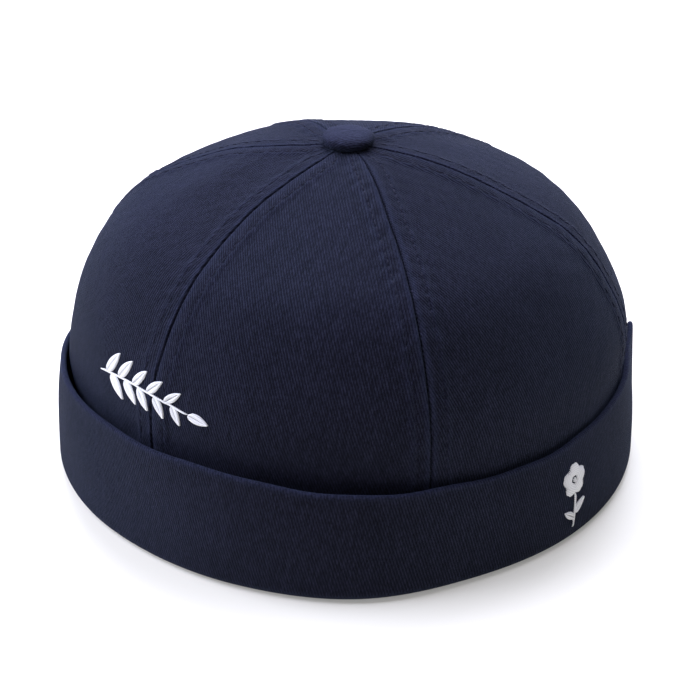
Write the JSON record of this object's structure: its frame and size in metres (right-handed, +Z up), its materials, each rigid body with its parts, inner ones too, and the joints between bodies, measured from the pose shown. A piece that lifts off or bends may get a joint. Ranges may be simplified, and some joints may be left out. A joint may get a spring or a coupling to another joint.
{
  "type": "docker beanie",
  "caption": "Brimless docker beanie in navy cotton twill: a panelled dome with raised seams and a covered top button, and a stiff turned-up cuff that is open at the back.",
  "frame": {"origin": "on the surface that the cap stands on, under the middle of its outline", "axes": "+Z up through the top button, -Y the way the wearer faces, +X the wearer's left"},
  "size_m": [0.1956, 0.196, 0.1149],
  "materials": {
    "navy_twill": "matt cotton twill with a fine diagonal line, paler where it turns away",
    "navy_cuff_twill": "matt cotton twill, folded double, with a steep diagonal line",
    "navy_button_twill": "matt cotton twill stretched over a button",
    "navy_thread": "twisted sewing thread",
    "white_thread": "glossy embroidery thread"
  },
  "bodies": {
    "root": {"panel_front_left": "navy_twill", "panel_side_left": "navy_twill", "panel_back_left": "navy_twill", "panel_back_right": "navy_twill", "panel_side_right": "navy_twill", "panel_front_right": "navy_twill", "cuff": "navy_cuff_twill", "top_button": "navy_button_twill"}
  },
  "joints": []
}
